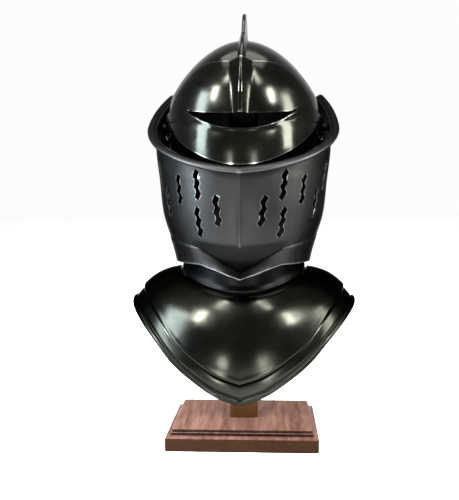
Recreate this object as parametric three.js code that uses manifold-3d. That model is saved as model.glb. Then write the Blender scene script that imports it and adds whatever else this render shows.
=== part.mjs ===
// Close helmet with gorget on a wooden display stand.
// Millimetres, +Z up, the face looks along -Y, origin at the middle of the plinth's underside.
import * as THREE from 'three';
import { mergeVertices } from 'three/addons/utils/BufferGeometryUtils.js';
import Module from 'manifold-3d';

const wasm = await Module();
wasm.setup();

// Driving dimensions
const WALL = 1.5;                 // steel sheet
const PIVOT = { y: 12, z: 402 };  // temple axis, along X
const DOME_RADIUS = 115;          // skull's depth from the temple axis, in side view
const CROWN_HEIGHT = 107.5;       // apex above the temple axis
const SKULL_HALF_WIDTH = 97.5;
const CONE_ANGLE = 70;            // degrees from the apex where the conical crown meets the full width
const CONE_APEX_WIDTH = 0.79;     // width at the apex against a round crown's
const SKULL_AROUND = 28;
const VISOR_STANDOFF = 3.9;       // skull's middle surface to the visor's outer face
const VISOR_SPAN = 97.2;          // degrees from the front to the back of an ear
const VISOR_STEPS = 12;
const EAR_RADIUS = 15;
const KEEL_HEIGHT = 8;
const KEEL_CREST_HALF = 1.6;
const KEEL_BASE_LOW = 9;
const KEEL_BASE_HIGH = 13;
const KEEL_FOOT_Z = 398;          // where the keel begins to rise, just under the slit's top edge
const KEEL_RISE = 12;
const KEEL_SPREAD_Z = 411;        // from here the keel's root widens over KEEL_SPREAD
const KEEL_SPREAD = 60;
const COMB_BASE_HALF = 10;
const COMB_HALF = 2.2;
const COMB_STEPS = 20;
const COMB_START = 30;            // degrees up from the front
const COMB_END = 186;
const COMB_SINK = 2.3;            // how far the comb's root is let into the skull
const SLIT_HALF_WIDTH = 67;
const SLIT_END_Z = 414;
const SLIT_HIGH_Z = 407.5;
const SLIT_LOW_Z = 389.5;
const HOLE_RADIUS = 3.4;
const STUD_RADIUS = 3;
const RIM_SLOPE = 0.555;          // fall of the ventail's rim towards the front
const RIM_FRONT = { y: -126, z: 343 };
const VENTAIL_CENTRE_Y = -20;
const VENTAIL_STEPS = 14;
const VENTAIL_FRONT_SHARE = 0.62; // of the way round from the keel to the rear edge, the curved front
const VENTAIL_CLOSING = 13;       // how far the sides close in by the rear edge
const VENTAIL_PROW = 7;           // how far the keel stands forward
const VENTAIL_REAR = { low: 45, high: 75, z: 233, rise: 219 }; // the rear edge's y at its foot and top
const CHIN_TUCK = 16;             // how far the chin turns in above its lower band
const CHIN_HALF_WIDTH = 56;
const CHIN_Z = 245;
const CHIN_TIP_Z = 217;
const CHIN_BROW_Z = 262;          // where the chin starts to turn in
const SLOT_LENGTH = 34;
const SLOT_WIDTH = 7.4;
const SLOT_LEAN = 5;              // sideways, over its length
const COLLAR_AROUND = 24;
const NECK = { halfWidth: 81.5, front: 93, back: 86, z: 222, frontDrop: 25 };
const GORGET_HALF_WIDTH = 143;
const GORGET_BULGE = 0.11;        // of the plate's reach
const GORGET_TIP = { y: -130, z: 75 };
const GORGET_SHOULDER_Z = 180;
const GORGET_BACK = { y: 118, z: 150 };
const GORGET_OVERLAP = 94;        // degrees either side of the front
const POST_SIDE = 36;
const POST_TOP = 498;
const BASE_LOWER = { width: 190, depth: 150, height: 17 };
const BASE_UPPER = { width: 170, depth: 134, height: 9 };

const RAD = Math.PI / 180;
const clamp = (value, low, high) => Math.min(Math.max(value, low), high);

// ---- solids ----------------------------------------------------------------------------------

// A triangle list becomes an indexed geometry with shared corners and no collapsed triangles.
function weld(points, triangles) {
  const raw = new THREE.BufferGeometry();
  raw.setAttribute('position', new THREE.Float32BufferAttribute(points.flatMap((p) => p.toArray()), 3));
  raw.setIndex(triangles.flat());
  const merged = mergeVertices(raw, 1e-3);
  const index = merged.index.array;
  const kept = [];
  for (let i = 0; i < index.length; i += 3) {
    const [a, b, c] = [index[i], index[i + 1], index[i + 2]];
    if (a !== b && b !== c && c !== a) kept.push(a, b, c);
  }
  merged.setIndex(kept);
  return merged;
}

function toManifold(geometry) {
  const bare = geometry.clone();
  bare.deleteAttribute('normal');
  bare.deleteAttribute('uv');
  const merged = mergeVertices(bare, 1e-4);
  return new wasm.Manifold(new wasm.Mesh({
    numProp: 3,
    vertProperties: new Float32Array(merged.attributes.position.array),
    triVerts: new Uint32Array(merged.index.array),
  }));
}

function toGeometry(manifold) {
  const mesh = manifold.getMesh();
  const geometry = new THREE.BufferGeometry();
  geometry.setAttribute('position', new THREE.BufferAttribute(mesh.vertProperties, 3));
  geometry.setIndex(new THREE.BufferAttribute(mesh.triVerts, 1));
  return geometry;
}

// Sheet metal from a grid of points in its middle surface. Rows run around the piece and columns run
// up it; the wall is laid half to each side. `ring` closes the last row onto the first.
function sheet(grid, { wall = WALL, ring = false } = {}) {
  const rows = grid.length;
  const columns = grid[0].length;
  const at = (i, j) => grid[ring ? (i + rows) % rows : clamp(i, 0, rows - 1)][clamp(j, 0, columns - 1)];
  const normal = (i, j) => {
    const along = at(i + 1, j).clone().sub(at(i - 1, j));
    const up = at(i, j + 1).clone().sub(at(i, j - 1));
    if (along.lengthSq() < 1e-6) return new THREE.Vector3(0, 0, 1);
    return along.cross(up).normalize();
  };
  const points = [];
  for (const side of [0.5, -0.5]) {
    for (let i = 0; i < rows; i++) {
      for (let j = 0; j < columns; j++) {
        points.push(at(i, j).clone().addScaledVector(normal(i, j), side * wall));
      }
    }
  }
  const outer = (i, j) => (i % rows) * columns + j;
  const inner = (i, j) => rows * columns + outer(i, j);
  const triangles = [];
  const quad = (a, b, c, d) => triangles.push([a, b, c], [a, c, d]);
  const spans = ring ? rows : rows - 1;
  for (let i = 0; i < spans; i++) {
    for (let j = 0; j < columns - 1; j++) {
      quad(outer(i, j), outer(i + 1, j), outer(i + 1, j + 1), outer(i, j + 1));
      quad(inner(i, j), inner(i, j + 1), inner(i + 1, j + 1), inner(i + 1, j));
    }
    quad(outer(i + 1, 0), outer(i, 0), inner(i, 0), inner(i + 1, 0));
    quad(outer(i, columns - 1), outer(i + 1, columns - 1), inner(i + 1, columns - 1), inner(i, columns - 1));
  }
  if (!ring) {
    for (let j = 0; j < columns - 1; j++) {
      quad(outer(0, j), outer(0, j + 1), inner(0, j + 1), inner(0, j));
      quad(outer(rows - 1, j + 1), outer(rows - 1, j), inner(rows - 1, j), inner(rows - 1, j + 1));
    }
  }
  return weld(points, triangles);
}

// A side-view outline, points [y, z], run right through the helmet from left to right.
function sideCutter(shape, from = -150, to = 150) {
  const options = { depth: to - from, bevelEnabled: false, curveSegments: 10 };
  const geometry = new THREE.ExtrudeGeometry(shape, options);
  const basis = new THREE.Matrix4().makeBasis(
    new THREE.Vector3(0, 1, 0), new THREE.Vector3(0, 0, 1), new THREE.Vector3(1, 0, 0));
  geometry.translate(0, 0, from);
  geometry.applyMatrix4(basis);
  return geometry;
}

// A front-view outline, points [x, z], run along Y between two depths.
function frontCutter(shape, from, to) {
  const options = { depth: to - from, bevelEnabled: false, curveSegments: 10 };
  const geometry = new THREE.ExtrudeGeometry(shape, options);
  geometry.rotateX(Math.PI / 2);
  geometry.translate(0, to, 0);
  return geometry;
}

function outline(points, close = true) {
  const shape = new THREE.Shape(points.map(([a, b]) => new THREE.Vector2(a, b)));
  if (close) shape.closePath();
  return shape;
}

// A smooth value through [position, value] pairs that rise in position, level beyond both ends.
function through(pairs, x) {
  const last = pairs.length - 1;
  if (x <= pairs[0][0]) return pairs[0][1];
  if (x >= pairs[last][0]) return pairs[last][1];
  const slope = (i) => {
    const [x0, v0] = pairs[Math.max(i - 1, 0)];
    const [x1, v1] = pairs[Math.min(i + 1, last)];
    return (v1 - v0) / (x1 - x0);
  };
  let i = 0;
  while (x > pairs[i + 1][0]) i++;
  const [x0, v0] = pairs[i];
  const [x1, v1] = pairs[i + 1];
  const span = x1 - x0;
  const t = (x - x0) / span;
  return (2 * t ** 3 - 3 * t ** 2 + 1) * v0 + (t ** 3 - 2 * t ** 2 + t) * span * slope(i)
    + (3 * t ** 2 - 2 * t ** 3) * v1 + (t ** 3 - t ** 2) * span * slope(i + 1);
}

function pivotHole() {
  const bore = new THREE.CylinderGeometry(HOLE_RADIUS, HOLE_RADIUS, 300, 14);
  bore.rotateZ(Math.PI / 2);
  bore.translate(0, PIVOT.y, PIVOT.z);
  return bore;
}

// ---- skull -----------------------------------------------------------------------------------

// Crown sections by the angle down from the apex, a little conical in front view.
function crown(degrees) {
  const cone = Math.min(1, CONE_APEX_WIDTH + (1 - CONE_APEX_WIDTH) * (degrees / CONE_ANGLE) ** 1.3);
  const sine = Math.sin(degrees * RAD);
  return {
    z: PIVOT.z + CROWN_HEIGHT * Math.cos(degrees * RAD),
    halfWidth: SKULL_HALF_WIDTH * sine * cone,
    front: DOME_RADIUS * sine,
    back: DOME_RADIUS * sine,
  };
}

const SKULL_LOWER = [
  { z: 243, halfWidth: 81.5, front: 112, back: 97 },
  { z: 258, halfWidth: 81, front: 110, back: 89 },
  { z: 278, halfWidth: 85.5, front: 108, back: 90 },
  { z: 305, halfWidth: 92.5, front: 106, back: 97 },
  { z: 340, halfWidth: 96, front: 108, back: 108 },
  { z: 375, halfWidth: 97, front: 112, back: 114 },
];

// A point of a section at an angle from the front, +X first.
function around(section, degrees) {
  const turn = degrees * RAD;
  const depth = Math.cos(turn) > 0 ? section.front : section.back;
  return new THREE.Vector3(
    section.halfWidth * Math.sin(turn),
    PIVOT.y - depth * Math.cos(turn),
    section.z,
  );
}

// The skull's distance from the temple axis, in side view, by the angle up from the front.
function crownRadius(degrees) {
  return 1 / Math.hypot(Math.cos(degrees * RAD) / DOME_RADIUS, Math.sin(degrees * RAD) / CROWN_HEIGHT);
}

// The comb's crest: its distance from the temple axis by the angle up from the front.
const COMB_CREST = [
  [30, 116.5], [40, 118.2], [64, 118.4], [71, 120], [81, 134], [92, 146.5], [106, 149], [126, 145],
  [150, 133], [172, 122], [186, 115.6],
];

// The comb: a fin with a flared root, along an arc about the temple axis.
function comb() {
  const grid = [];
  for (let i = 0; i <= COMB_STEPS; i++) {
    const degrees = COMB_START + (COMB_END - COMB_START) * i / COMB_STEPS;
    const surface = crownRadius(degrees);
    const height = through(COMB_CREST, degrees) - surface;
    const root = Math.min(height * 0.7, 7);
    const section = [
      [0, -0.8], [COMB_BASE_HALF, -COMB_SINK], [COMB_BASE_HALF * 0.5, root * 0.3],
      [COMB_HALF, root + height * 0.1],
      [COMB_HALF * 0.7, height - 0.3], [0, height], [-COMB_HALF * 0.7, height - 0.3],
      [-COMB_HALF, root + height * 0.1], [-COMB_BASE_HALF * 0.5, root * 0.3], [-COMB_BASE_HALF, -COMB_SINK],
    ];
    grid.push(section.map(([x, rise]) => new THREE.Vector3(
      x,
      PIVOT.y - (surface + rise) * Math.cos(degrees * RAD),
      PIVOT.z + (surface + rise) * Math.sin(degrees * RAD),
    )));
  }
  return bar(grid);
}

// A bar through closed sections with flat ends.
function bar(sections) {
  const size = sections[0].length;
  const points = sections.flat();
  const triangles = [];
  for (let i = 0; i < sections.length - 1; i++) {
    for (let j = 0; j < size; j++) {
      const next = (j + 1) % size;
      const [a, b] = [i * size + j, i * size + next];
      triangles.push([a, a + size, b], [b, a + size, b + size]);
    }
  }
  const last = (sections.length - 1) * size;
  for (let j = 1; j < size - 1; j++) {
    triangles.push([0, j, j + 1]);
    triangles.push([last, last + j + 1, last + j]);
  }
  return weld(points, triangles);
}

function skull() {
  const levels = SKULL_LOWER.slice();
  for (const degrees of [90, 79, 68, 56, 43, 29, 14]) levels.push(crown(degrees));
  const grid = [];
  for (let i = 0; i < SKULL_AROUND; i++) {
    const degrees = i * 360 / SKULL_AROUND;
    const column = levels.map((level) => around(level, degrees));
    column.push(new THREE.Vector3(0, PIVOT.y, PIVOT.z + CROWN_HEIGHT));
    grid.push(column);
  }
  const face = outline([[-140, 236], [-60, 236], [-62, 300], [-54, 334], [-16, 346], [-14, 360], [-26, 392],
    [-50, 410], [-140, 416]]);
  return toGeometry(toManifold(sheet(grid, { ring: true }))
    .add(toManifold(comb()))
    .subtract(toManifold(sideCutter(face)))
    .subtract(toManifold(pivotHole())));
}

// ---- visor -----------------------------------------------------------------------------------

// Half width and depth of the visor's middle surface below the temple axis, by height.
const VISOR_WIDTHS = [[338, 98], [352, 99.5], [374, 101], [392, 101], [402, 100.2]];
const VISOR_DEPTHS = [[338, 122.5], [352, 124], [374, 124.6], [392, 121.2], [402, 117.7]];

// Upper and lower edges by the angle from the front; the ears end them in a half circle.
const VISOR_TOP = [[0, 470], [26, 470], [35, 466], [45, 455], [54, 434], [62, 418], [75, 414], [90, 417]];
const VISOR_BOTTOM = [
  [0, 348.5], [12, 350.5], [25, 358], [42, 373], [55, 388], [64, 394], [75, 392], [90, 387],
];

function visorSection(z) {
  if (z < PIVOT.z) {
    return { z, halfWidth: through(VISOR_WIDTHS, z), front: through(VISOR_DEPTHS, z) };
  }
  const middle = VISOR_STANDOFF - WALL / 2;
  const degrees = Math.acos((z - PIVOT.z) / (CROWN_HEIGHT + middle)) / RAD;
  const sine = Math.sin(degrees * RAD);
  const { halfWidth } = crown(degrees);
  return { z, halfWidth: halfWidth + middle * (0.35 + 0.65 * sine), front: (DOME_RADIUS + middle) * sine };
}

function visorPoint(place, share) {
  const step = Math.abs(place);
  const angleAt = (z) => {
    const { halfWidth } = visorSection(z);
    const spread = clamp((z - KEEL_SPREAD_Z) / KEEL_SPREAD, 0, 1);
    const base = KEEL_BASE_LOW + (KEEL_BASE_HIGH - KEEL_BASE_LOW) * spread;
    const root = Math.asin(base / halfWidth) / RAD;
    const side = (step - 3) / VISOR_STEPS;
    const eased = 0.25 * side + 0.75 * Math.sin(side * Math.PI / 2);
    if (step > 3) return root + eased * (VISOR_SPAN - root);
    return Math.asin([0, KEEL_CREST_HALF, base * 0.55, base][step] / halfWidth) / RAD;
  };
  const earReach = (degrees) => visorSection(PIVOT.z).front * Math.cos(degrees * RAD);
  const ear = (degrees) => Math.sqrt(Math.max(EAR_RADIUS ** 2 - earReach(degrees) ** 2, 0.2));
  const edge = (pairs, sign, degrees) => (degrees <= 90 ? through(pairs, degrees)
    : PIVOT.z + sign * ear(degrees));
  const low = edge(VISOR_BOTTOM, -1, angleAt(PIVOT.z));
  const high = edge(VISOR_TOP, 1, angleAt(PIVOT.z));
  const z = low + (high - low) * share;
  const degrees = angleAt(z);
  const section = visorSection(z);
  const point = around({ ...section, back: section.front }, Math.sign(place) * degrees);
  const rise = [1, 1, 0.36, 0][step] ?? 0;
  const grow = clamp((z - KEEL_FOOT_Z) / KEEL_RISE, 0, 1);
  const tilt = Math.atan2(z - PIVOT.z, section.front);
  point.y -= rise * grow * KEEL_HEIGHT * Math.cos(tilt);
  point.z += rise * grow * KEEL_HEIGHT * Math.sin(tilt);
  return point;
}

function visor() {
  const reach = VISOR_STEPS + 3;
  const shares = [0, 0.14, 0.28, 0.41, 0.53, 0.68, 0.84, 1];
  const grid = [];
  for (let place = -reach; place <= reach; place++) {
    grid.push(shares.map((share) => visorPoint(place, share)));
  }
  const slit = new THREE.Shape();
  slit.moveTo(-SLIT_HALF_WIDTH, SLIT_END_Z);
  slit.quadraticCurveTo(-48, SLIT_LOW_Z + 3.5, 0, SLIT_LOW_Z);
  slit.quadraticCurveTo(48, SLIT_LOW_Z + 3.5, SLIT_HALF_WIDTH, SLIT_END_Z);
  slit.quadraticCurveTo(40, SLIT_HIGH_Z + 0.5, 0, SLIT_HIGH_Z);
  slit.quadraticCurveTo(-40, SLIT_HIGH_Z + 0.5, -SLIT_HALF_WIDTH, SLIT_END_Z);
  return toGeometry(toManifold(sheet(grid))
    .subtract(toManifold(frontCutter(slit, -150, -20)))
    .subtract(toManifold(pivotHole())));
}

// ---- ventail ---------------------------------------------------------------------------------

// Half width and depth of the ventail's middle surface, by height.
const VENTAIL_HALF_WIDTH = [
  [217, 82], [233, 83], [254, 88], [291, 99.5], [333, 104.3], [372, 108.6], [460, 108.6],
];
const VENTAIL_FRONT = [[217, 86], [233, 88], [262, 95], [291, 96.5], [333, 95.5], [345, 94.5], [460, 94]];

// `place` runs from 0 at the keel to 1 at the rear edge; `push` stands the point off the wall.
function ventailPoint(place, z, push) {
  const halfWidth = through(VENTAIL_HALF_WIDTH, z);
  const reach = Math.abs(place);
  const sign = Math.sign(place);
  if (reach <= VENTAIL_FRONT_SHARE) {
    const turn = reach / VENTAIL_FRONT_SHARE * 90 * RAD;
    const prow = VENTAIL_PROW * (1 - Math.sin(turn)) ** 1.5;
    return new THREE.Vector3(
      sign * (halfWidth + push) * Math.sin(turn),
      VENTAIL_CENTRE_Y - (through(VENTAIL_FRONT, z) + push) * Math.cos(turn) - prow,
      z,
    );
  }
  const { low, high, z: footZ, rise } = VENTAIL_REAR;
  const end = low + (high - low) * (z - footZ) / rise;
  const back = (reach - VENTAIL_FRONT_SHARE) / (1 - VENTAIL_FRONT_SHARE);
  const y = VENTAIL_CENTRE_Y + back * (end - VENTAIL_CENTRE_Y);
  const raised = clamp((z - 265) / 115, 0, 1);
  const closing = VENTAIL_CLOSING * raised * ((y - VENTAIL_CENTRE_Y) / (high - VENTAIL_CENTRE_Y)) ** 2;
  return new THREE.Vector3(sign * (halfWidth + push - closing), y, z);
}

function rimHeight(y) {
  return RIM_FRONT.z + RIM_SLOPE * (y - RIM_FRONT.y);
}

function breathSlot(degrees, z) {
  const side = [[-0.2, 0.5], [0.16, 0.43], [0.5, 0.34], [0.05, 0.2], [0.5, 0.02], [0.1, -0.16], [0.5, -0.32],
    [0.3, -0.46], [0, -0.5]];
  const back = [[-0.35, -0.42], [-0.45, -0.28], [-0.02, -0.14], [-0.45, 0.06], [-0.05, 0.22], [-0.5, 0.38]];
  const turned = Math.sign(degrees);
  const shape = outline([...side, ...back].map(([a, b]) => [
    turned * (a * SLOT_WIDTH + b * SLOT_LEAN), b * SLOT_LENGTH + z,
  ]));
  const cutter = frontCutter(shape, -150, -60);
  cutter.rotateZ(degrees * RAD);
  cutter.translate(0, VENTAIL_CENTRE_Y, 0);
  return cutter;
}

// Breath slots: degrees from the front and height, the same on both sides.
const BREATHS = [[15, 296], [30, 326], [29, 283], [46, 321], [60, 306], [72, 338]];

function ventail() {
  const grid = [];
  for (let i = -VENTAIL_STEPS; i <= VENTAIL_STEPS; i++) {
    const place = i / VENTAIL_STEPS;
    const flange = (push, rise) => {
      const base = ventailPoint(place, 400, push);
      const z = rimHeight(base.y) + rise;
      const point = ventailPoint(place, z, push);
      point.z = z;
      return point;
    };
    const top = flange(0, -2).z;
    const x = Math.abs(ventailPoint(place, CHIN_Z, 0).x);
    const front = Math.abs(place) <= VENTAIL_FRONT_SHARE;
    const bottom = front ? CHIN_TIP_Z + Math.min(16, 0.33 * x) : VENTAIL_REAR.z;
    const crease = bottom + (front ? 5 + Math.min(30, 0.3 * x) : 35);
    const under = Math.max(0, 1 - x / CHIN_HALF_WIDTH);
    const column = [];
    const tuck = (z, amount) => {
      const point = ventailPoint(place, z, 0);
      point.y += amount * under;
      return point;
    };
    column.push(tuck(bottom, -2));
    column.push(tuck(crease, CHIN_TUCK));
    column.push(tuck(Math.max(crease + 3, CHIN_BROW_Z - 6 * under), 0));
    const low = column.at(-1).z;
    for (const part of [0.25, 0.5, 0.75, 1]) column.push(ventailPoint(place, low + (top - low) * part, 0));
    column.push(flange(2.5, 0));
    column.push(flange(8, 1));
    column.push(flange(10, -1));
    column.push(flange(10.2, -4.5));
    grid.push(column);
  }
  let body = toManifold(sheet(grid)).subtract(toManifold(pivotHole()));
  for (const [degrees, z] of BREATHS) {
    for (const sign of [-1, 1]) body = body.subtract(toManifold(breathSlot(sign * degrees, z)));
  }
  return toGeometry(body);
}

// ---- pivots, collar and gorget ---------------------------------------------------------------

function pivotStud(sign) {
  const profile = [
    [0, 92.5], [5.5, 92.5], [5.5, 95.4], [STUD_RADIUS, 95.4], [STUD_RADIUS, 101.6],
    [4.6, 101.6], [4.6, 105.8], [STUD_RADIUS, 105.8], [STUD_RADIUS, 108.9],
    [7.5, 108.9], [7, 110.3], [5, 111.8], [2.5, 112.5], [0, 112.7],
  ].map(([radius, along]) => new THREE.Vector2(radius, along));
  const stud = new THREE.LatheGeometry(profile, 10);
  stud.rotateZ(-sign * Math.PI / 2);
  stud.translate(0, PIVOT.y, PIVOT.z);
  return stud;
}

function neckPoint(degrees) {
  const forward = Math.cos(degrees * RAD);
  const depth = forward > 0 ? NECK.front : NECK.back;
  return new THREE.Vector3(
    NECK.halfWidth * Math.sin(degrees * RAD),
    -depth * forward,
    NECK.z - NECK.frontDrop * Math.max(0, forward) ** 1.5,
  );
}

// The collar's foot from inside the gorget's neck up over a bead: [share of the neck's radius, rise].
const COLLAR_FOOT = [[0.922, -6], [0.932, -1], [0.962, 2.8], [0.95, 5.5], [0.93, 12]];

function collar() {
  const grid = [];
  for (let i = 0; i < COLLAR_AROUND; i++) {
    const degrees = i * 360 / COLLAR_AROUND;
    const foot = neckPoint(degrees);
    const levels = [...COLLAR_FOOT.map(([scale, rise]) => [scale, foot.z + rise]), [0.925, 240], [0.94, 250]];
    grid.push(levels.map(([scale, z]) => new THREE.Vector3(foot.x * scale, foot.y * scale, z)));
  }
  return sheet(grid, { ring: true });
}

// How the rim climbs from the tip to the shoulder, by its share of the half width.
const GORGET_RISE = [[0, 0], [0.2, 0.09], [0.4, 0.254], [0.56, 0.413], [0.72, 0.634], [0.86, 0.817], [1, 1]];

function gorgetEdge(degrees) {
  const sine = Math.sin(degrees * RAD);
  const forward = Math.cos(degrees * RAD);
  const end = forward > 0 ? GORGET_TIP : GORGET_BACK;
  return new THREE.Vector3(
    GORGET_HALF_WIDTH * sine,
    forward > 0 ? end.y * forward : -end.y * forward,
    end.z + (GORGET_SHOULDER_Z - end.z) * through(GORGET_RISE, Math.abs(sine)),
  );
}

// The back plate lies under the front one.
const BACK_PLATE = { sink: 3.6, trim: 2 };

// Rows of the gorget from rim to neck: [distance in from the rim, relief], then shares of the panel inside.
const GORGET_BORDER = [[0, -2.4], [0, 0.8], [2.6, 1.4], [5.2, 0], [8.5, -1.2], [21, -0.8], [23.5, 2]];
const GORGET_PANEL = [[0.2, 2], [0.45, 1.8], [0.7, 1.2], [0.9, 0.6], [1, 0]];

function gorgetPlate(from, to, steps, { sink = 0, trim = 0 } = {}) {
  const grid = [];
  for (let i = 0; i <= steps; i++) {
    const degrees = from + (to - from) * i / steps;
    const neck = neckPoint(degrees);
    const reach = gorgetEdge(degrees).sub(neck);
    const length = reach.length();
    const flat = new THREE.Vector3(reach.x, reach.y, 0).normalize();
    const slope = reach.clone().normalize();
    const out = flat.clone().addScaledVector(slope, -flat.dot(slope)).normalize();
    const inner = GORGET_BORDER.at(-1)[0] / length;
    const rows = GORGET_BORDER.map(([distance, relief]) => [1 - (distance + trim) / length, relief]);
    for (const [part, relief] of GORGET_PANEL) rows.push([(1 - inner) * (1 - part), relief]);
    grid.push(rows.map(([share, relief]) => neck.clone()
      .addScaledVector(reach, share)
      .addScaledVector(out, GORGET_BULGE * length * Math.sin(Math.PI * share ** 0.8) + relief - sink)));
  }
  return sheet(grid);
}

// ---- stand -----------------------------------------------------------------------------------

function plank({ width, depth, height }, corner, bevel) {
  const [w, d] = [width / 2 - bevel, depth / 2 - bevel];
  const shape = new THREE.Shape();
  shape.moveTo(-w + corner, -d);
  shape.lineTo(w - corner, -d);
  shape.quadraticCurveTo(w, -d, w, -d + corner);
  shape.lineTo(w, d - corner);
  shape.quadraticCurveTo(w, d, w - corner, d);
  shape.lineTo(-w + corner, d);
  shape.quadraticCurveTo(-w, d, -w, d - corner);
  shape.lineTo(-w, -d + corner);
  shape.quadraticCurveTo(-w, -d, -w + corner, -d);
  return new THREE.ExtrudeGeometry(shape, {
    depth: height - 2 * bevel, bevelThickness: bevel, bevelSize: bevel, bevelSegments: 2, curveSegments: 3,
  });
}

function standBase() {
  const lower = plank(BASE_LOWER, 3, 0.8);
  lower.translate(0, 0, 0.8);
  const mould = plank({ width: BASE_LOWER.width - 4, depth: BASE_LOWER.depth - 4, height: 10 }, 3, 4);
  mould.translate(0, 0, BASE_LOWER.height - 2);
  const upper = plank({ ...BASE_UPPER, height: BASE_UPPER.height + 3 }, 2, 1.2);
  upper.translate(0, 0, BASE_LOWER.height - 1.8);
  return toGeometry(toManifold(lower).add(toManifold(mould)).add(toManifold(upper)));
}

function standPost() {
  const half = POST_SIDE / 2;
  const cut = 4;
  const shape = outline([[-half + cut, -half], [half - cut, -half], [half, -half + cut], [half, half - cut],
    [half - cut, half], [-half + cut, half], [-half, half - cut], [-half, -half + cut]]);
  const foot = BASE_LOWER.height + BASE_UPPER.height + 0.3;
  const post = new THREE.ExtrudeGeometry(shape, { depth: POST_TOP - foot, bevelEnabled: false });
  post.translate(0, 0, foot);
  return post;
}

// ---- assembly --------------------------------------------------------------------------------

const steel = { color: 0x3a3b38, roughness: 0.28, metalness: 1 };
const satin = { color: 0x5a5a59, roughness: 0.42, metalness: 1 };
const wood = { color: 0x6b3b2a, roughness: 0.35, metalness: 0 };

const pieces = [
  ['skull', skull(), steel],
  ['visor', visor(), steel],
  ['ventail', ventail(), satin],
  ['pivot_left', pivotStud(-1), steel],
  ['pivot_right', pivotStud(1), steel],
  ['collar', collar(), steel],
  ['gorget_front', gorgetPlate(-GORGET_OVERLAP, GORGET_OVERLAP, 24), steel],
  ['gorget_back', gorgetPlate(GORGET_OVERLAP - 6, 366 - GORGET_OVERLAP, 16, BACK_PLATE), steel],
  ['stand_base', standBase(), wood],
  ['stand_post', standPost(), wood],
];

const helmet = new THREE.Group();
for (const [name, geometry, finish] of pieces) {
  const mesh = new THREE.Mesh(geometry, new THREE.MeshStandardMaterial(finish));
  mesh.name = name;
  helmet.add(mesh);
}

export default helmet;
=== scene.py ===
"""Looks of the close helmet with gorget on its wooden stand: fine steel plates, wood and studio light."""
import math

import bpy
import numpy as np
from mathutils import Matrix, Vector


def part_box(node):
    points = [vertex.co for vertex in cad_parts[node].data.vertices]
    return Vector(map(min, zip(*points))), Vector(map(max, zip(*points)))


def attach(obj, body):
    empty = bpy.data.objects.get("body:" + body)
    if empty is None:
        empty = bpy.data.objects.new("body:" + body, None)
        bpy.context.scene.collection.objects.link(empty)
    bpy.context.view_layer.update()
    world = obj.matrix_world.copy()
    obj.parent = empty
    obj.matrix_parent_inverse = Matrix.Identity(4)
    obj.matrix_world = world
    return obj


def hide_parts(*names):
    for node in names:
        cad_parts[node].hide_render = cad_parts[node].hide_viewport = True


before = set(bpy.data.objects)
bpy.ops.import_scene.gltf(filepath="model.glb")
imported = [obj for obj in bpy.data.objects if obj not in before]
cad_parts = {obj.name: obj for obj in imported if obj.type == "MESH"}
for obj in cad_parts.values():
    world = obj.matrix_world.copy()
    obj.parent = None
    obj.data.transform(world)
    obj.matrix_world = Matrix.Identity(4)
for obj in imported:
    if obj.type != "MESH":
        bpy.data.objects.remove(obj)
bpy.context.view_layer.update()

MM = 0.001

# Driving dimensions of the armour, in millimetres
WALL = 1.5
PIVOT_Y = 12.0
PIVOT_Z = 402.0
DOME_RADIUS = 115.0             # the skull's depth from the temple axis, in side view
CROWN_HEIGHT = 107.5
SKULL_HALF_WIDTH = 97.5
CONE_ANGLE = 70.0               # from the apex to where the conical crown meets the full width
CONE_APEX_WIDTH = 0.79          # width at the apex against a round crown's
VISOR_STANDOFF = 3.9
VISOR_SPAN = 97.2               # degrees from the front to the back of an ear
EAR_RADIUS = 15.0
EAR_REACH = 118.0               # from the temple axis to the visor's front
KEEL_HEIGHT = 8.0
KEEL_CREST_HALF = 1.4
KEEL_BASE_LOW = 9.0
KEEL_BASE_HIGH = 13.0
KEEL_SPREAD_Z = 411.0           # from here the keel's root widens over KEEL_SPREAD
KEEL_SPREAD = 60.0
KEEL_FOOT_Z = 396.0
KEEL_RISE = 13.0
COMB_BASE_HALF = 10.0
COMB_HALF = 2.2
COMB_START = 30.0               # degrees up from the front
COMB_END = 186.0
COMB_SINK = 2.6                 # how far the comb's root is let into the skull
SLIT_HALF_WIDTH = 67.0
SLIT_LOW_Z = 389.5
SLIT_HIGH_Z = 407.5
SLIT_END_Z = 414.0
SLIT_LIP = 1.5                  # how far the lip under the slit stands out
RIM_SLOPE = 0.555               # fall of the ventail's rim towards the front
RIM_FRONT_Y = -126.0
RIM_FRONT_Z = 343.0
VENTAIL_CENTRE_Y = -20.0
VENTAIL_FRONT_SHARE = 0.62      # of the way round from the keel to the rear edge, the curved front
VENTAIL_CLOSING = 13.0          # how far the sides close in by the rear edge
VENTAIL_REAR_LOW_Y = 45.0
VENTAIL_REAR_HIGH_Y = 75.0
VENTAIL_FOOT_Z = 233.0
VENTAIL_HEIGHT = 219.0
SLOT_LENGTH = 36.0
SLOT_WIDTH = 8.4
SLOT_LEAN = 5.0                 # sideways, over its length
CHIN_TUCK = 16.0                # how far the chin turns in above its lower band
CHIN_HALF_WIDTH = 56.0
CHIN_Z = 245.0
CHIN_TIP_Z = 217.0
CHIN_BROW_Z = 262.0             # where the chin starts to turn in
NECK_HALF_WIDTH = 81.5
NECK_FRONT = 93.0
NECK_BACK = 86.0
NECK_Z = 222.0
NECK_FRONT_DROP = 25.0
GORGET_HALF_WIDTH = 143.0
GORGET_BULGE = 0.11             # of the plate's reach
GORGET_TIP_Y, GORGET_TIP_Z = -130.0, 75.0
GORGET_BACK_Y, GORGET_BACK_Z = 118.0, 150.0
GORGET_SHOULDER_Z = 180.0
SHADED_POST_Z = 0.2             # metres; from here up the post is hidden and painted dark as shade


# ---- curves and meshes -----------------------------------------------------------------------

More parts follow.
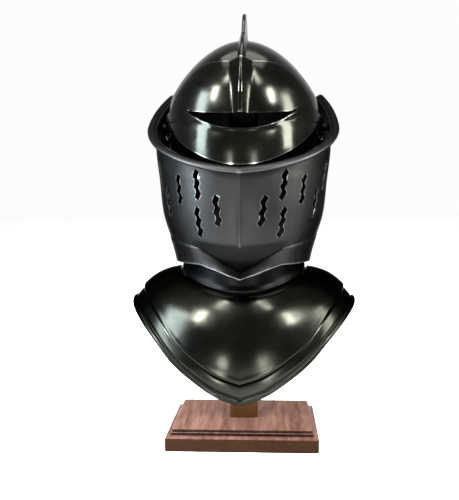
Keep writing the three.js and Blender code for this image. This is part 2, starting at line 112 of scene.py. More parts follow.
def through(pairs, x):
    """A smooth value through (position, value) pairs, level outside them."""
    xs, vs = zip(*pairs)
    last = len(pairs) - 1
    if x <= xs[0]:
        return vs[0]
    if x >= xs[last]:
        return vs[last]
    i = next(k for k in range(last) if x <= xs[k + 1])

    def slope(k):
        a, b = max(k - 1, 0), min(k + 1, last)
        return (vs[b] - vs[a]) / (xs[b] - xs[a])

    span = xs[i + 1] - xs[i]
    t = (x - xs[i]) / span
    return ((2 * t**3 - 3 * t**2 + 1) * vs[i] + (t**3 - 2 * t**2 + t) * span * slope(i)
            + (3 * t**2 - 2 * t**3) * vs[i + 1] + (t**3 - t**2) * span * slope(i + 1))


def clamp(value, low=0.0, high=1.0):
    return min(max(value, low), high)


def ease(t):
    return t * t * (3 - 2 * t)


def signed_volume(points, faces):
    total = 0.0
    for face in faces:
        for i in range(1, len(face) - 1):
            total += np.dot(points[face[0]], np.cross(points[face[i]], points[face[i + 1]]))
    return total


def make_object(name, points, faces, slots=None):
    """A closed mesh object from millimetre points, facing out, with coincident points joined.

    slots gives each face's material, where there is more than one.
    """
    points = np.asarray(points, float)
    if signed_volume(points, faces) < 0:
        faces = [tuple(reversed(face)) for face in faces]
    mesh = bpy.data.meshes.new(name)
    mesh.from_pydata([tuple(p) for p in points * MM], [], faces)
    if slots is not None:
        mesh.polygons.foreach_set("material_index", slots)
        mesh.materials.append(None)
        mesh.materials.append(None)
    mesh.validate()
    obj = bpy.data.objects.new(name, mesh)
    bpy.context.scene.collection.objects.link(obj)
    weld = obj.modifiers.new("weld", "WELD")
    weld.merge_threshold = 0.00002
    settle(obj)
    return obj


def settle(obj):
    """Turns the object's modifiers into its mesh."""
    graph = bpy.context.evaluated_depsgraph_get()
    graph.update()
    done = bpy.data.meshes.new_from_object(obj.evaluated_get(graph))
    obj.modifiers.clear()
    obj.data = done
    done.name = obj.name


def smooth(obj, degrees=38):
    obj.data.polygons.foreach_set("use_smooth", [True] * len(obj.data.polygons))
    obj.data.set_sharp_from_angle(angle=math.radians(degrees))
    obj.data.update()


def shell(name, grid, wall=WALL, ring=False, bright=0):
    """Sheet metal round a grid of middle points, with a rounded edge. Rows run round, columns up.

    The inner face takes the second material, but for the topmost `bright` columns.
    """
    grid = np.asarray(grid, float)
    rows, columns = grid.shape[:2]
    if ring:
        along = np.roll(grid, -1, 0) - np.roll(grid, 1, 0)
    else:
        along = np.gradient(grid, axis=0)
    up = np.gradient(grid, axis=1)
    normal = np.cross(along, up)
    length = np.linalg.norm(normal, axis=2, keepdims=True)
    normal = np.where(length > 1e-6, normal / np.maximum(length, 1e-6), [0.0, 0.0, 1.0])
    half = wall / 2
    points = np.concatenate([(grid + normal * half).reshape(-1, 3), (grid - normal * half).reshape(-1, 3)])
    faces = []
    spans = rows if ring else rows - 1
    count = rows * columns

    def at(i, j, layer=0):
        return layer * count + (i % rows) * columns + j

    for i in range(spans):
        for j in range(columns - 1):
            faces.append((at(i, j), at(i + 1, j), at(i + 1, j + 1), at(i, j + 1)))
            faces.append((at(i, j, 1), at(i, j + 1, 1), at(i + 1, j + 1, 1), at(i + 1, j, 1)))
    slots = [slot for j in range(columns - 1) for slot in (0, int(j < columns - 1 - bright))] * spans
    edges = []
    for i in range(spans):
        edges.append((at(i + 1, 0), at(i, 0)))
    if not ring:
        for j in range(columns - 1):
            edges.append((at(0, j), at(0, j + 1)))
            edges.append((at(rows - 1, j + 1), at(rows - 1, j)))
    for i in range(spans):
        edges.append((at(i, columns - 1), at(i + 1, columns - 1)))
    middle = {}
    extra = []
    flat = grid.reshape(-1, 3)

    def rim_point(k):
        if k not in middle:
            i, j = divmod(k, columns)
            outward = np.zeros(3)
            if j == 0:
                outward -= up[i, j]
            if j == columns - 1:
                outward += up[i, j]
            if not ring and i == 0:
                outward -= along[i, j]
            if not ring and i == rows - 1:
                outward += along[i, j]
            size = np.linalg.norm(outward)
            middle[k] = 2 * count + len(extra)
            extra.append(flat[k] + outward / max(size, 1e-9) * half * 0.75)
        return middle[k]

    for a, b in edges:
        ma, mb = rim_point(a), rim_point(b)
        faces.append((a, b, mb, ma))
        faces.append((ma, mb, b + count, a + count))
    if extra:
        points = np.concatenate([points, np.array(extra)])
    slots += [0] * (len(faces) - len(slots))
    return make_object(name, points, faces, slots)


def tube(name, rings, slot=None):
    """A closed solid through closed sections of equal size; slot is every face's material, if given."""
    rings = np.asarray(rings, float)
    count, size = rings.shape[:2]
    faces = []
    for i in range(count - 1):
        for j in range(size):
            k = (j + 1) % size
            faces.append((i * size + j, i * size + k, (i + 1) * size + k, (i + 1) * size + j))
    faces.append(tuple(reversed(range(size))))
    faces.append(tuple(range((count - 1) * size, count * size)))
    return make_object(name, rings.reshape(-1, 3), faces, None if slot is None else [slot] * len(faces))


def combine(obj, tool, operation):
    """Joins or cuts obj with tool, which is used up."""
    modifier = obj.modifiers.new("combine", "BOOLEAN")
    modifier.operation = operation
    modifier.solver = "MANIFOLD"
    modifier.object = tool
    settle(obj)
    bpy.data.objects.remove(tool)


def prism(outline, place_low, place_high, slot=0):
    """A solid between two copies of an outline; each place call turns [a, b] into a point."""
    return tube("tool", [[place(a, b) for a, b in outline] for place in (place_low, place_high)], slot)


# ---- skull -----------------------------------------------------------------------------------

def crown(degrees):
    """A section of the crown, by the angle down from the apex: height, half width, front, back."""
    cone = min(1.0, CONE_APEX_WIDTH + (1 - CONE_APEX_WIDTH) * (degrees / CONE_ANGLE) ** 1.3)
    sine = math.sin(math.radians(degrees))
    z = PIVOT_Z + CROWN_HEIGHT * math.cos(math.radians(degrees))
    return z, SKULL_HALF_WIDTH * sine * cone, DOME_RADIUS * sine, DOME_RADIUS * sine


# Below the temple axis, by height: half width, and how far the front and the back stand from the axis.
SKULL_WIDTHS = [(243, 81.5), (258, 81), (278, 85.5), (305, 92.5), (340, 96), (375, 97), (402, 97.5)]
SKULL_FRONTS = [(243, 112), (258, 110), (278, 108), (305, 106), (340, 108), (375, 112), (402, 115)]
SKULL_BACKS = [(243, 97), (258, 89), (278, 90), (305, 97), (340, 108), (375, 114), (402, 115)]


def around(section, degrees):
    """A point of a section at an angle from the front, +X first."""
    z, half_width, front, back = section
    turn = math.radians(degrees)
    depth = front if math.cos(turn) > 0 else back
    return (half_width * math.sin(turn), PIVOT_Y - depth * math.cos(turn), z)


def crown_radius(degrees):
    """The skull's distance from the temple axis, in side view, by the angle up from the front."""
    turn = math.radians(degrees)
    return 1 / math.hypot(math.cos(turn) / DOME_RADIUS, math.sin(turn) / CROWN_HEIGHT)


# The comb's crest: its distance from the temple axis by the angle up from the front.
COMB_CREST = [
    (30, 116.5), (40, 118.2), (64, 118.4), (71, 120), (81, 134), (92, 146.5), (106, 149), (126, 145),
    (150, 133), (172, 122), (186, 115.6),
]


def comb():
    """A fin with a flared root, along an arc about the temple axis."""
    rings = []
    for degrees in np.linspace(COMB_START, COMB_END, 160):
        surface = crown_radius(degrees)
        height = through(COMB_CREST, degrees) - surface
        root = min(height * 0.75, 12)
        side = [(COMB_BASE_HALF * 1.05, -COMB_SINK)]
        for t in np.linspace(0, 1, 9):
            x = COMB_BASE_HALF + (COMB_HALF * 1.1 - COMB_BASE_HALF) * t
            side.append((x, -2.0 + (root + 2.0) * t**2.4))
        side.append((COMB_HALF * 1.02, root + (height - root) * 0.5))
        for turn in np.linspace(0, 90, 5)[:-1]:
            side.append((COMB_HALF * math.cos(math.radians(turn)),
                         height - COMB_HALF * 0.6 + COMB_HALF * 0.6 * math.sin(math.radians(turn))))
        section = [(0, -COMB_SINK)] + side + [(0, height)] + [(-x, h) for x, h in reversed(side)]
        turn = math.radians(degrees)
        rings.append([(x, PIVOT_Y - (surface + h) * math.cos(turn),
                       PIVOT_Z + (surface + h) * math.sin(turn)) for x, h in section])
    return tube("comb", rings)


def skull():
    lower = [(z, through(SKULL_WIDTHS, z), through(SKULL_FRONTS, z), through(SKULL_BACKS, z))
             for z in np.linspace(243, 398, 34)]
    upper = [crown(degrees) for degrees in np.linspace(90, 0.4, 50)]
    grid = [[around(level, degrees) for level in lower + upper] + [(0, PIVOT_Y, PIVOT_Z + CROWN_HEIGHT)]
            for degrees in np.arange(0, 360, 2.0)]
    piece = shell("skull_plate", grid, ring=True)
    combine(piece, comb(), "UNION")
    face = [
        (-60, 236), (-62, 300), (-54, 334), (-16, 346), (-14, 360), (-26, 392), (-50, 410), (-140, 416),
        (-140, 236),
    ]
    combine(piece, prism(face, lambda a, b: (150, a, b), lambda a, b: (-150, a, b)), "DIFFERENCE")
    return piece


# ---- visor -----------------------------------------------------------------------------------

# Half width and depth of the visor's middle surface below the temple axis, by height.
VISOR_WIDTHS = [(338, 98), (352, 99.5), (374, 101), (392, 101), (402, 100.2)]
VISOR_DEPTHS = [(338, 122.5), (352, 124), (374, 124.6), (392, 121.2), (402, 117.7)]

# Upper and lower edges by the angle from the front; the ears end them in a half circle.
VISOR_TOP = [(0, 470), (26, 470), (35, 466), (45, 455), (54, 434), (62, 418), (75, 414), (90, 417)]
VISOR_BOTTOM = [(0, 348.5), (12, 350.5), (25, 358), (42, 373), (55, 388), (64, 394), (75, 392), (90, 387)]


def visor_section(z):
    if z < PIVOT_Z:
        depth = through(VISOR_DEPTHS, z)
        return z, through(VISOR_WIDTHS, z), depth, depth
    middle = VISOR_STANDOFF - WALL / 2
    degrees = math.degrees(math.acos((z - PIVOT_Z) / (CROWN_HEIGHT + middle)))
    sine = math.sin(math.radians(degrees))
    depth = (DOME_RADIUS + middle) * sine
    return z, crown(degrees)[1] + middle * (0.35 + 0.65 * sine), depth, depth


def keel_base(z):
    return KEEL_BASE_LOW + (KEEL_BASE_HIGH - KEEL_BASE_LOW) * clamp((z - KEEL_SPREAD_Z) / KEEL_SPREAD)


def visor_edge(pairs, sign, degrees):
    if degrees <= 90:
        return through(pairs, degrees)
    reach = EAR_REACH * math.cos(math.radians(degrees))
    return PIVOT_Z + sign * math.sqrt(max(EAR_RADIUS**2 - reach**2, 0.2))


def slit_bottom(x):
    return SLIT_LOW_Z + (SLIT_END_Z - SLIT_LOW_Z) * (abs(x) / SLIT_HALF_WIDTH) ** 2.3


def slit_top(x):
    return SLIT_HIGH_Z + (SLIT_END_Z - SLIT_HIGH_Z) * (abs(x) / SLIT_HALF_WIDTH) ** 2.6


def visor_point(keel_share, side_share, sign, share):
    """keel_share runs 0 to 1 over the keel's half width; then side_share runs 0 to 1 to the ear."""
    def angle_at(z):
        half_width = visor_section(z)[1]
        base = keel_base(z)
        root = math.degrees(math.asin(base / half_width))
        if side_share is not None:
            eased = 0.25 * side_share + 0.75 * math.sin(side_share * math.pi / 2)
            return root + eased * (VISOR_SPAN - root)
        return math.degrees(math.asin(base * keel_share / half_width))

    reference = angle_at(PIVOT_Z)
    low = visor_edge(VISOR_BOTTOM, -1, reference)
    high = visor_edge(VISOR_TOP, 1, reference)
    z = low + (high - low) * share
    degrees = angle_at(z)
    section = visor_section(z)
    x, y, _ = around(section, sign * degrees)
    lift = 0.0
    if side_share is None:
        crest = KEEL_CREST_HALF / keel_base(z)
        lift = (1 - clamp((keel_share - crest) / (1 - crest))) ** 1.28
        lift *= KEEL_HEIGHT * ease(clamp((z - KEEL_FOOT_Z) / KEEL_RISE))
    depth_below = slit_bottom(x) - z
    if abs(x) < SLIT_HALF_WIDTH + 6 and -3 < depth_below < 12:
        fade = ease(clamp((SLIT_HALF_WIDTH + 6 - abs(x)) / 14))
        lift += SLIT_LIP * fade * math.exp(-(max(depth_below, 0) / 3.2) ** 2)
    tilt = math.atan2(z - PIVOT_Z, section[2])
    turn = math.radians(sign * degrees)
    if side_share is None:
        return (x, y - lift * math.cos(tilt), z + lift * math.sin(tilt))
    return (x + lift * math.sin(turn), y - lift * math.cos(turn), z)


def visor():
    shares = np.linspace(0, 1, 70)
    places = [(k, None) for k in np.linspace(0, 1, 15)] + [(1, s) for s in np.linspace(0, 1, 70)[1:]]
    rows = [(k, s, -1) for k, s in reversed(places)] + [(k, s, 1) for k, s in places[1:]]
    grid = [[visor_point(k, s, sign, share) for share in shares] for k, s, sign in rows]
    piece = shell("visor_plate", grid)
    across = np.linspace(-SLIT_HALF_WIDTH, SLIT_HALF_WIDTH, 61)
    outline = [(x, slit_bottom(x)) for x in across] + [(x, slit_top(x)) for x in across[-2:0:-1]]
    combine(piece, prism(outline, lambda a, b: (a, -150, b), lambda a, b: (a, -20, b)), "DIFFERENCE")
    return piece


# ---- ventail ---------------------------------------------------------------------------------

# Half width and depth of the ventail's middle surface, by height.
VENTAIL_HALF_WIDTH = [(217, 82), (233, 83), (254, 88), (291, 99.5), (333, 104.3), (372, 108.6), (460, 108.6)]
VENTAIL_FRONT = [(217, 86), (233, 88), (262, 95), (291, 96.5), (333, 95.5), (345, 94.5), (460, 94)]


def ventail_point(place, z, push=0.0):
    """place runs from 0 at the keel to 1 at the rear edge; push stands the point off the wall."""
    half_width = through(VENTAIL_HALF_WIDTH, z)
    reach, sign = abs(place), math.copysign(1, place)
    if reach <= VENTAIL_FRONT_SHARE:
        turn = reach / VENTAIL_FRONT_SHARE * math.pi / 2
        prow = 6 * (1 - math.sin(turn)) ** 1.5 + 1.2 * math.exp(-half_width * math.sin(turn) / 3)
        return np.array([sign * (half_width + push) * math.sin(turn),
                         VENTAIL_CENTRE_Y - (through(VENTAIL_FRONT, z) + push) * math.cos(turn) - prow, z])
    end = (VENTAIL_REAR_LOW_Y
           + (VENTAIL_REAR_HIGH_Y - VENTAIL_REAR_LOW_Y) * (z - VENTAIL_FOOT_Z) / VENTAIL_HEIGHT)
    back = (reach - VENTAIL_FRONT_SHARE) / (1 - VENTAIL_FRONT_SHARE)
    y = VENTAIL_CENTRE_Y + back * (end - VENTAIL_CENTRE_Y)
    raised = clamp((z - 265) / 115)
    behind = (y - VENTAIL_CENTRE_Y) / (VENTAIL_REAR_HIGH_Y - VENTAIL_CENTRE_Y)
    closing = VENTAIL_CLOSING * raised * behind**2
    return np.array([sign * (half_width + push - closing), y, z])


def rim_height(y):
    return RIM_FRONT_Z + RIM_SLOPE * (y - RIM_FRONT_Y)


# The flared rim and its rolled edge: how far each point stands off the wall, and its rise.
RIM_ROLL = [(0.6, -1.2), (1.6, -0.6), (2.6, -0.9)] + [
    (6.5 + 3.7 * math.cos(math.radians(a)), -1.0 + 2.8 * math.sin(math.radians(a)))
    for a in np.linspace(165, -75, 13)]


def ventail_column(place):
    def flange(push, rise):
        base = ventail_point(place, 400, push)
        z = rim_height(base[1]) + rise
        point = ventail_point(place, z, push)
        point[2] = z
        return point

    x = abs(ventail_point(place, CHIN_Z)[0])
    front = abs(place) <= VENTAIL_FRONT_SHARE
    bottom = CHIN_TIP_Z + min(16.0, 0.33 * x) if front else VENTAIL_FOOT_Z
    crease = bottom + 5 + min(30.0, 0.3 * x) if front else bottom + 35
    under = max(0.0, 1 - x / CHIN_HALF_WIDTH)

    def tuck(z, amount, push=0.0):
        point = ventail_point(place, z, push)
        point[1] += amount * under
        return point

    brow = max(crease + 3, CHIN_BROW_Z - 6 * under)
    top = flange(0, -2)[2]
    flare = 2
    depth = CHIN_TUCK + flare
    column = [tuck(bottom + (crease - bottom) * t, depth * t - flare, 1.0) for t in np.linspace(0, 0.93, 10)]
    column += [tuck(crease + (brow - crease) * t, CHIN_TUCK * (1 - t)) for t in np.linspace(0, 1, 12)]
    column += [ventail_point(place, brow + (top - brow) * t) for t in np.linspace(0, 1, 42)[1:]]
    column += [flange(push, rise) for push, rise in RIM_ROLL]
    return column


# Breath slots: degrees from the front and height, the same on both sides.
BREATHS = [(15, 296), (30, 326), (29, 283), (46, 321), (60, 306), (72, 338)]


def breath_slot(degrees, z):
    """A wavy slot of three linked lozenges, cut straight in towards the ventail's axis."""
    side = math.copysign(1, degrees)

    def half_width(t):
        taper = min(1, 0.3 + 9 * (0.5 - abs(t)))
        return SLOT_WIDTH * (0.3 + 0.17 * abs(math.sin(3 * math.pi * (t + 0.5)))) * taper

    def middle(t):
        return SLOT_LEAN * side * t + 1.1 * math.sin(6 * math.pi * t)

    steps = np.linspace(-0.5, 0.5, 43)
    right = [(middle(t) + half_width(t), t * SLOT_LENGTH + z) for t in steps]
    left = [(middle(t) - half_width(t), t * SLOT_LENGTH + z) for t in steps]
    outline = right + left[::-1]
    turn = math.radians(degrees)

    def place(depth):
        return lambda a, b: (a * math.cos(turn) - depth * math.sin(turn),
                             VENTAIL_CENTRE_Y + a * math.sin(turn) + depth * math.cos(turn), b)

    return prism(outline[::-1], place(-150), place(-60), 1)


def ventail():
    places = np.linspace(-1, 1, 241)
    piece = shell("ventail_plate", [ventail_column(place) for place in places], bright=36)
    for degrees, z in BREATHS:
        for sign in (-1, 1):
            combine(piece, breath_slot(sign * degrees, z), "DIFFERENCE")
    return piece


# ---- studs, collar and gorget ----------------------------------------------------------------

# A stud's radius and distance from the middle plane, from its inner end to its domed head.
STUD_PROFILE = [
    (0, 92.5), (5.5, 92.5), (5.5, 95.4), (3, 95.4), (3, 101.6), (4.6, 101.6), (4.6, 105.8), (3, 105.8),
    (3, 108.9), (7.5, 108.9), (7.4, 109.8), (6.6, 110.8), (5.3, 111.7), (3.6, 112.3), (1.6, 112.6),
    (0, 112.7),
]


def stud(name, sign):
    angles = np.radians(np.arange(0, 360, 7.5))[::int(sign)]

    def ring(radius, along):
        size = max(radius, 0.01)
        return [(sign * along, PIVOT_Y + size * math.cos(a), PIVOT_Z + size * math.sin(a)) for a in angles]

    return tube(name, [ring(radius, along) for radius, along in STUD_PROFILE])


def neck_point(degrees):
    forward = math.cos(math.radians(degrees))
    depth = NECK_FRONT if forward > 0 else NECK_BACK
    return np.array([NECK_HALF_WIDTH * math.sin(math.radians(degrees)), -depth * forward,
                     NECK_Z - NECK_FRONT_DROP * max(0.0, forward) ** 1.5])


# The collar's foot, from inside the gorget's neck up over a bead: share of the neck's radius, and rise.
COLLAR_FOOT = [(0.922, -6), (0.932, -1), (0.962, 2.8), (0.95, 5.5), (0.93, 12)]


def collar():
    grid = []
    for degrees in np.arange(0, 360, 2.5):
        foot = neck_point(degrees)
        levels = [(scale, foot[2] + rise) for scale, rise in COLLAR_FOOT] + [(0.925, 240), (0.94, 250)]
        scales = [(s, v) for s, (v, _) in enumerate(levels)]
        heights = [(s, z) for s, (_, z) in enumerate(levels)]
        grid.append([(foot[0] * through(scales, s), foot[1] * through(scales, s), through(heights, s))
                     for s in np.linspace(0, 6, 37)])
    return shell("collar_band", grid, ring=True)


# How the rim climbs from the tip to the shoulder, by its share of the half width.
GORGET_RISE = [(0, 0), (0.2, 0.09), (0.4, 0.254), (0.56, 0.413), (0.72, 0.634), (0.86, 0.817), (1, 1)]

# The border's relief by the distance in from the rim: roll, groove, band, step and raised field.
BORDER_RELIEF = [
    (0, 0.8), (1.3, 1.6), (2.6, 1.9), (4.0, 1.3), (5.0, -0.4), (6.2, -1.5), (7.6, -1.4), (9.5, -0.6),
    (15, -0.5), (20, -0.8), (21.5, -1.1), (22.3, 0.6), (23.2, 2.0), (25, 2.5), (30, 2.2),
]
BORDER_DEPTH = 30.0
FIELD_RELIEF = 2.2


def gorget_edge(degrees):
    sine = math.sin(math.radians(degrees))
    forward = math.cos(math.radians(degrees))
    reach, z = (GORGET_TIP_Y, GORGET_TIP_Z) if forward > 0 else (-GORGET_BACK_Y, GORGET_BACK_Z)
    climb = (GORGET_SHOULDER_Z - z) * through(GORGET_RISE, abs(sine))
    return np.array([GORGET_HALF_WIDTH * sine, reach * forward, z + climb])


def gorget_plate(name, start, end, steps, sink=0.0, trim=0.0):
    """A plate of the gorget between two angles; sink sets it under its neighbour, trim shortens it."""
    grid = []
    for degrees in np.linspace(start, end, steps):
        neck = neck_point(degrees)
        reach = gorget_edge(degrees) - neck
        length = np.linalg.norm(reach)
        slope = reach / length
        flat = np.array([reach[0], reach[1], 0])
        flat /= np.linalg.norm(flat)
        out = flat - slope * flat.dot(slope)
        out /= np.linalg.norm(out)
        inner = 1 - (BORDER_DEPTH + trim) / length
        rows = [(1 - trim / length, -2.4), (1 - trim / length, -0.8)]
        border = np.linspace(0, BORDER_DEPTH, 46)
        rows += [(1 - (d + trim) / length, through(BORDER_RELIEF, d)) for d in border]
        rows += [(inner * (1 - t), FIELD_RELIEF * (1 - ease(t))) for t in np.linspace(0, 1, 40)[1:]]
        column = []
        for share, relief in rows:
            bulge = GORGET_BULGE * length * math.sin(math.pi * max(share, 0) ** 0.8)
            column.append(neck + reach * share + out * (bulge + relief - sink))
        grid.append(column)
    return shell(name, grid)


# ---- stand -----------------------------------------------------------------------------------

def rounded_rectangle(half_width, half_depth, corner, z):
    points = []
    for sx, sy, start in ((1, 1, 0), (-1, 1, 90), (-1, -1, 180), (1, -1, 270)):
        for a in np.radians(np.linspace(start, start + 90, 5)):
            points.append((sx * (half_width - corner) + corner * math.cos(a),
                           sy * (half_depth - corner) + corner * math.sin(a), z))
    return points


def plinth():
    """Two stepped boards with a hollow moulding between; the profile is inset and height."""
    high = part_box("stand_base")[1]
    half_width, half_depth, top = high.x / MM, high.y / MM, high.z / MM
    profile = [(1.2, 0), (0.3, 0.3), (0, 1.2), (0, 15.2), (0.4, 16.2), (1.4, 16.8), (2.4, 17.0)]
    hollow = np.radians(np.linspace(0, 80, 7))
    profile += [(2.6 + 4.6 * math.sin(a), 22.6 - 5.4 * math.cos(a)) for a in hollow]
    profile += [(8.0, 22.4), (8.0, top - 1.2), (8.5, top - 0.4), (9.4, top)]
    rings = [rounded_rectangle(half_width - inset, half_depth - inset, 3.0, z) for inset, z in profile]
    return tube("plinth", rings)


# ---- materials -------------------------------------------------------------------------------

class Nodes:
    """A small helper that adds nodes to one material."""

    def __init__(self, name):
        self.material = bpy.data.materials.new(name)
        self.material.use_nodes = True
        self.tree = self.material.node_tree
        self.shader = self.tree.nodes["Principled BSDF"]

    def add(self, kind, inputs=None, **settings):
        node = self.tree.nodes.new(kind)
        for key, value in settings.items():
            setattr(node, key, value)
        for key, value in (inputs or {}).items():
            self.put(node, key, value)
        return node

    def put(self, node, key, value):
        if isinstance(value, bpy.types.NodeSocket):
            self.tree.links.new(value, node.inputs[key])
        else:
            node.inputs[key].default_value = value

    def noise(self, scale, detail=3.0, roughness=0.5, stretch=(1, 1, 1)):
        place = self.add("ShaderNodeTexCoord").outputs["Object"]
        mapping = self.add("ShaderNodeMapping", {"Vector": place, "Scale": stretch})
        node = self.add("ShaderNodeTexNoise", {
            "Vector": mapping.outputs["Vector"], "Scale": scale, "Detail": detail, "Roughness": roughness})
        return node.outputs["Fac"]

    def ramp(self, fac, stops):
        node = self.add("ShaderNodeValToRGB", {"Fac": fac})
        elements = node.color_ramp.elements
        while len(elements) < len(stops):
            elements.new(0.5)
        for element, (position, colour) in zip(elements, stops):
            element.position = position
            element.color = colour if len(colour) == 4 else (*colour, 1)
        return node.outputs["Color"]

    def grey(self, fac, low, high, start=0.3, end=0.7):
        node = self.add("ShaderNodeMapRange", {
            "Value": fac, "From Min": start, "From Max": end, "To Min": low, "To Max": high})
        return node.outputs["Result"]

    def bump(self, height, strength, distance, normal=None):
        inputs = {"Height": height, "Strength": strength, "Distance": distance}
        if normal is not None:
            inputs["Normal"] = normal
        return self.add("ShaderNodeBump", inputs).outputs["Normal"]


def blend(nodes, share, first, second):
    """The colour first, giving way to second by share."""
    mix = nodes.add("ShaderNodeMix", data_type="RGBA")
    nodes.put(mix, 0, share)
    nodes.put(mix, 6, first)
    nodes.put(mix, 7, second)
    return mix.outputs[2]


def grey_tone(value):
    return (value, value, value)


def steel(name, dark, light, wear_and_edge_highlight, rough, wave, rim):
    """Blackened steel between two tones, worn bright at its edges, where the wear also serves as a painted
    edge highlight, and with painted shade darkening the faces that look down.

    rough is its lowest and highest roughness, wave its ripple and rim its glancing reflection.
    """
    nodes = Nodes(name)
    broad = nodes.noise(9, 4, 0.6)
    fine = nodes.noise(180, 5, 0.6)
    tone = nodes.ramp(broad, [(0.3, dark), (0.72, light)])
    geometry = nodes.add("ShaderNodeNewGeometry")
    # edge wear and painted highlight: sharp edges are brightened towards this colour, partly rubbed bright
    # steel and partly a painted edge highlight
    worn = nodes.grey(geometry.outputs["Pointiness"], 0.0, 1.0, 0.525, 0.6)
    colour = blend(nodes, worn, tone, (*wear_and_edge_highlight, 1))
    # painted shade: faces that look down are blended towards near black (0.003) by the normal's
    # up-component, standing in for the shade under the plates
    facing = nodes.add("ShaderNodeSeparateXYZ", {"Vector": geometry.outputs["Normal"]}).outputs["Z"]
    under = nodes.grey(facing, 0.0, 0.85, -0.12, -0.45)
    nodes.put(nodes.shader, "Base Color", blend(nodes, under, colour, (0.003, 0.003, 0.003, 1)))
    nodes.put(nodes.shader, "Metallic", 1.0)
    nodes.put(nodes.shader, "Specular Tint", (rim, rim, rim, 1))
    nodes.put(nodes.shader, "Roughness", nodes.grey(nodes.noise(26, 5, 0.65), rough[0], rough[1]))
    ripple = nodes.bump(nodes.noise(24, 2, 0.5), wave, 0.0012)
    nodes.put(nodes.shader, "Normal", nodes.bump(fine, 0.05, 0.0002, ripple))
    return nodes.material


def inner_steel(name):
    """The blackened, unpolished inside of the plates."""
    nodes = Nodes(name)
    nodes.put(nodes.shader, "Base Color", nodes.ramp(nodes.noise(20, 4, 0.6), [
        (0.3, (0.008, 0.008, 0.008)), (0.7, (0.016, 0.016, 0.015))]))
    nodes.put(nodes.shader, "Metallic", 1.0)
    nodes.put(nodes.shader, "Specular Tint", (0.05, 0.05, 0.05, 1))
    nodes.put(nodes.shader, "Roughness", 0.6)
    return nodes.material


def varnished_wood(name, shaded_from=None):
    """Dark red varnished wood, with painted light making its top paler and painted shade making its sides
    near black; from the height shaded_from up it is painted almost black, as painted shade.
    """
    nodes = Nodes(name)
    grain = nodes.noise(16, 6, 0.62, (9, 0.9, 9))
    pores = nodes.noise(70, 4, 0.6, (6, 0.6, 6))
    geometry = nodes.add("ShaderNodeNewGeometry")
    # painted light and shade: the sides take a near-black tone and the tops a paler one, blended by the
    # normal's up-component, for shade on the sides and light on the top
    side = nodes.ramp(grain, [
        (0.3, (0.0007, 0.0003, 0.0002)), (0.5, (0.0025, 0.0009, 0.0006)), (0.72, (0.008, 0.0034, 0.0022))])
    top = nodes.ramp(grain, [
        (0.3, (0.028, 0.0115, 0.0075)), (0.5, (0.062, 0.029, 0.021)), (0.72, (0.1, 0.053, 0.041))])
    facing = nodes.add("ShaderNodeSeparateXYZ", {"Vector": geometry.outputs["Normal"]}).outputs["Z"]
    tone = blend(nodes, nodes.grey(facing, 0.0, 1.0, 0.6, 0.95), side, top)
    worn = nodes.grey(geometry.outputs["Pointiness"], 0.0, 0.6, 0.52, 0.62)
    colour = blend(nodes, worn, tone, (0.03, 0.011, 0.003, 1))
    # painted shade: above shaded_from the wood is blended to near black, standing in for the shade inside
    # the helmet
    if shaded_from is not None:
        place = nodes.add("ShaderNodeTexCoord").outputs["Object"]
        height = nodes.add("ShaderNodeSeparateXYZ", {"Vector": place}).outputs["Z"]
        fade = 0.04
        painted_post_shade = nodes.grey(height, 0.0, 1.0, shaded_from, shaded_from + fade)
        colour = blend(nodes, painted_post_shade, colour, (0.0005, 0.0004, 0.0004, 1))
    nodes.put(nodes.shader, "Base Color", colour)
    nodes.put(nodes.shader, "Roughness", nodes.grey(pores, 0.4, 0.55))
    nodes.put(nodes.shader, "Specular IOR Level", 0.02)
    nodes.put(nodes.shader, "Normal", nodes.bump(pores, 0.12, 0.0004))
    return nodes.material


# ---- assembly --------------------------------------------------------------------------------

dark_steel = steel(
    "dark_steel", (0.004, 0.0042, 0.0034), (0.012, 0.012, 0.0098), (0.12, 0.12, 0.11), (0.12, 0.23),
    0.35, 0.6)
plate_steel = steel(
    "plate_steel", (0.003, 0.0031, 0.0025), (0.0095, 0.0095, 0.0077), (0.06, 0.06, 0.055), (0.15, 0.26),
    0.35, 0.2)
# painted shade: the collar takes a near-black tone, darker than the other plates, for the shade it stands in
# beneath the ventail
collar_steel = steel(
    "collar_steel", grey_tone(0.001), grey_tone(0.003), grey_tone(0.05), (0.3, 0.4), 0.2, 0.06)
satin_steel = steel(
    "satin_steel", (0.0062, 0.0061, 0.0058), (0.0105, 0.0103, 0.0098), grey_tone(0.08), (0.36, 0.46),
    0.15, 0.22)
stud_steel = steel(
    "stud_steel", grey_tone(0.003), grey_tone(0.005), grey_tone(0.01), (0.5, 0.6), 0.1, 0.05)
inside = inner_steel("inner_steel")
wood = varnished_wood("varnished_wood")
post_wood = varnished_wood("post_wood", SHADED_POST_Z)


def finish_piece(obj, material, node, body, degrees=38):
    """Shades a piece and rides it on its body; a sheet's inner faces take the inner steel."""
    smooth(obj, degrees)
    if len(obj.data.materials) == 2:
        obj.data.materials[0] = material
        obj.data.materials[1] = inside
    else:
        obj.data.materials.append(material)
    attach(obj, body)
    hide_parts(node)


finish_piece(skull(), dark_steel, "skull", "root")
finish_piece(visor(), dark_steel, "visor", "visor")
finish_piece(ventail(), satin_steel, "ventail", "ventail")
finish_piece(stud("stud_left", -1), stud_steel, "pivot_left", "root")
finish_piece(stud("stud_right", 1), stud_steel, "pivot_right", "root")
finish_piece(collar(), collar_steel, "collar", "root")
breast = gorget_plate("gorget_breast", -94, 94, 189)
finish_piece(breast, plate_steel, "gorget_front", "root")
nape = gorget_plate("gorget_nape", 88, 272, 185, sink=3.6, trim=2.0)
finish_piece(nape, plate_steel, "gorget_back", "root")
finish_piece(plinth(), wood, "stand_base", "root", 30)

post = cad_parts["stand_post"]
post.data.materials.clear()
post.data.materials.append(post_wood)


# ---- stage, light and camera -----------------------------------------------------------------

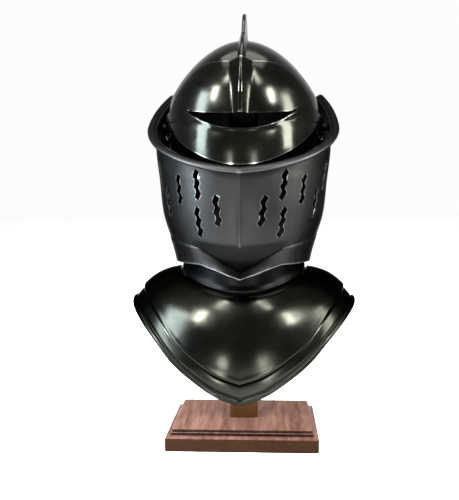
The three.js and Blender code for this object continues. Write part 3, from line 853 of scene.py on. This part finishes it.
def studio_floor():
    bpy.ops.mesh.primitive_plane_add(size=30, location=(0, 0, -0.0002))
    floor = bpy.context.object
    floor.name = "floor"
    material = bpy.data.materials.new("floor_pale")
    material.use_nodes = True
    shader = material.node_tree.nodes["Principled BSDF"]
    shader.inputs["Base Color"].default_value = (0.98, 0.98, 0.98, 1)
    shader.inputs["Roughness"].default_value = 0.7
    floor.data.materials.append(material)


def softbox(name, place, target, size, power, colour=(1, 1, 1)):
    """A rectangular lamp at place, facing target; size is its width and height, power in watts."""
    light = bpy.data.lights.new(name, "AREA")
    light.shape = "RECTANGLE"
    light.size, light.size_y = size
    light.energy = power
    light.color = colour
    obj = bpy.data.objects.new(name, light)
    bpy.context.scene.collection.objects.link(obj)
    obj.location = place
    obj.rotation_mode = "QUATERNION"
    obj.rotation_quaternion = (Vector(target) - Vector(place)).to_track_quat("-Z", "Y")


def world_light():
    world = bpy.data.worlds.new("studio")
    bpy.context.scene.world = world
    world.use_nodes = True
    background = world.node_tree.nodes["Background"]
    background.inputs["Color"].default_value = (1, 1, 1, 1)
    background.inputs["Strength"].default_value = 0.98


def camera():
    distance, height, pitch, azimuth = 0.925, 0.311, 4.2, 2.3
    data = bpy.data.cameras.new("camera")
    data.sensor_width = 36
    data.lens = 51.3
    data.shift_x = -0.029
    obj = bpy.data.objects.new("camera", data)
    bpy.context.scene.collection.objects.link(obj)
    turn = math.radians(azimuth)
    obj.location = (distance * math.sin(turn), -distance * math.cos(turn), height)
    obj.rotation_mode = "XYZ"
    obj.rotation_euler = (math.radians(90 - pitch), 0, turn)
    bpy.context.scene.camera = obj


studio_floor()
world_light()
softbox("key_left", (-0.85, -0.75, 1.2), (0, 0, 0.4), (0.16, 0.4), 80)
softbox("key_right", (0.9, -0.75, 1.15), (0, 0, 0.4), (0.16, 0.4), 66)
softbox("top_left", (-0.36, -0.5, 1.55), (0, -0.1, 0.45), (0.1, 0.5), 34)
softbox("top_right", (0.34, -0.5, 1.55), (0, -0.1, 0.45), (0.1, 0.5), 26)
softbox("window_left", (-1.4, -0.6, 0.8), (0, 0, 0.38), (0.42, 1.1), 190, (0.74, 0.87, 1.0))
softbox("window_right", (1.5, -0.4, 0.85), (0, 0, 0.38), (0.4, 0.9), 100)
softbox("overhead", (0, 0.15, 1.7), (0, 0, 0.3), (1.1, 0.7), 40)
softbox("low_left", (-0.42, -1.25, 0.16), (0, 0, 0.2), (0.12, 0.16), 14)
softbox("low_right", (0.45, -1.25, 0.16), (0, 0, 0.2), (0.12, 0.16), 10)
camera()
bpy.context.scene.view_settings.view_transform = "Standard"
